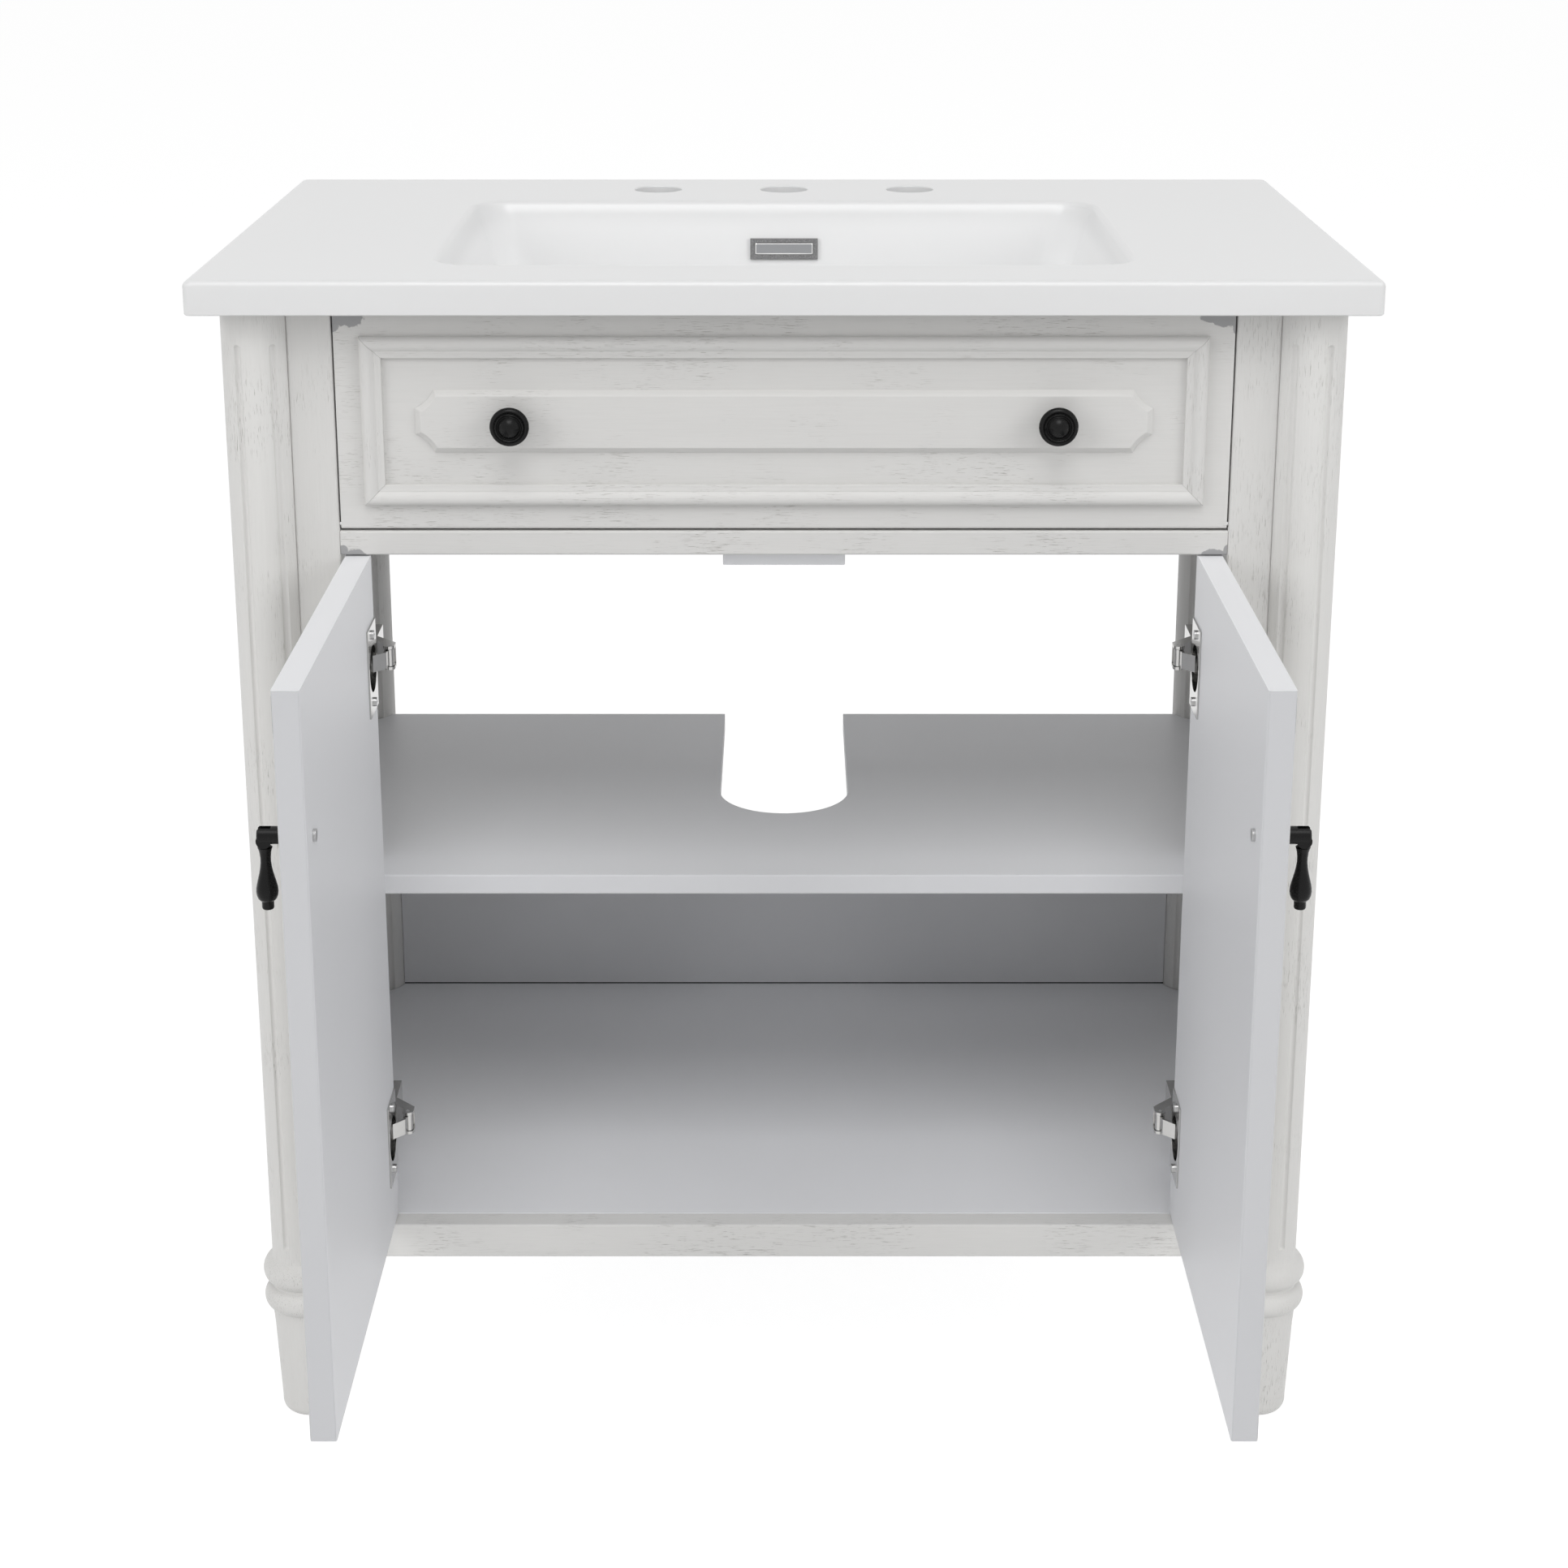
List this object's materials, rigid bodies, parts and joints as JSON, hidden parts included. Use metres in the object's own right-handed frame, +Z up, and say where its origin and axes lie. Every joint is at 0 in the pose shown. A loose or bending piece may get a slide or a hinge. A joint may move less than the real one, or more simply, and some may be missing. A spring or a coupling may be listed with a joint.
{
  "type": "vanity unit",
  "caption": "bathroom vanity with a ceramic basin top on fluted round legs, a tip-out front over two open panelled doors, a cut-out shelf and pendant pulls",
  "frame": {"origin": "middle of the whole unit's footprint with the doors open at right angles, on the floor", "axes": "+Z up, front faces -Y, +X to the right seen from the front; the unit is mirrored left to right about X = 0"},
  "size_m": [0.787, 0.7462, 0.857],
  "materials": {
    "ceramic": "glossy white glazed ceramic",
    "painted_wood": "off-white paint, satin, lightly distressed",
    "lined_board": "smooth pale grey lining on board",
    "black_metal": "satin black",
    "nickel": "polished nickel plate",
    "steel": "bright zinc plate",
    "tray_plastic": "matte moulded plastic"
  },
  "bodies": {
    "cabinet": {"sink_top": "ceramic", "overflow_cover": "nickel", "leg_front_left": "painted_wood", "leg_front_right": "painted_wood", "leg_back_left": "painted_wood", "leg_back_right": "painted_wood", "stile_left": "painted_wood", "stile_right": "painted_wood", "middle_rail": "painted_wood", "door_stop": "lined_board", "bottom_rail": "painted_wood", "side_panel_left": "painted_wood", "side_panel_right": "painted_wood", "liner_left": "lined_board", "liner_right": "lined_board", "floor_panel": "lined_board", "shelf": "lined_board", "shelf_pins": "steel", "lower_back_panel": "lined_board", "upper_back_rail": "lined_board", "hinge_plates": "nickel", "hinge_plate_screws": "steel", "hinge_arms": "nickel", "hinge_pins": "steel", "tilt_pins": "steel"},
    "left_door": {"left_door_panel": "painted_wood", "left_door_moulding": "painted_wood", "left_door_plaque": "painted_wood", "left_hinge_cups": "nickel", "left_cup_screws": "steel", "left_pull_base": "black_metal", "left_pull_screw": "steel"},
    "right_door": {"right_door_panel": "painted_wood", "right_door_moulding": "painted_wood", "right_door_plaque": "painted_wood", "right_hinge_cups": "nickel", "right_cup_screws": "steel", "right_pull_base": "black_metal", "right_pull_screw": "steel"},
    "tilt_front": {"tilt_panel": "painted_wood", "tilt_moulding": "painted_wood", "tilt_plaque": "painted_wood", "tilt_knobs": "black_metal", "tilt_knob_screws": "steel", "tilt_tray": "tray_plastic"},
    "left_pull": {"left_pull_drop": "black_metal"},
    "right_pull": {"right_pull_drop": "black_metal"},
    "left_links": {"left_hinge_links": "nickel"},
    "right_links": {"right_hinge_links": "nickel"}
  },
  "joints": [
    {"name": "left_door_hinge", "type": "hinge", "parent": "cabinet", "child": "left_door", "pos_m": [-0.29675, -0.0774, 0.41275], "axis": [0, 0, 1], "range_deg": [-15, 90]},
    {"name": "left_pull_swing", "type": "hinge", "parent": "left_door", "child": "left_pull", "pos_m": [-0.3116, -0.34985, 0.5614], "axis": [0, 1, 0], "range_deg": [-8, 80]},
    {"name": "left_link_turn", "type": "hinge", "parent": "cabinet", "child": "left_links", "pos_m": [-0.2736, -0.06765, 0.41], "axis": [0, 0, 1], "range_deg": [-60.4, 10.2]},
    {"name": "right_door_hinge", "type": "hinge", "parent": "cabinet", "child": "right_door", "pos_m": [0.29675, -0.0774, 0.41275], "axis": [0, 0, -1], "range_deg": [-15, 90]},
    {"name": "right_pull_swing", "type": "hinge", "parent": "right_door", "child": "right_pull", "pos_m": [0.3116, -0.34985, 0.5614], "axis": [0, -1, 0], "range_deg": [-8, 80]},
    {"name": "right_link_turn", "type": "hinge", "parent": "cabinet", "child": "right_links", "pos_m": [0.2736, -0.06765, 0.41], "axis": [0, 0, -1], "range_deg": [-60.4, 10.2]},
    {"name": "front_tilt", "type": "hinge", "parent": "cabinet", "child": "tilt_front", "pos_m": [0, -0.07685, 0.685], "axis": [1, 0, 0], "range_deg": [0, 32]}
  ],
  "couplings": [
    {"joint": "left_link_turn", "follows": "left_door_hinge", "ratio": -0.67},
    {"joint": "right_link_turn", "follows": "right_door_hinge", "ratio": -0.67}
  ]
}
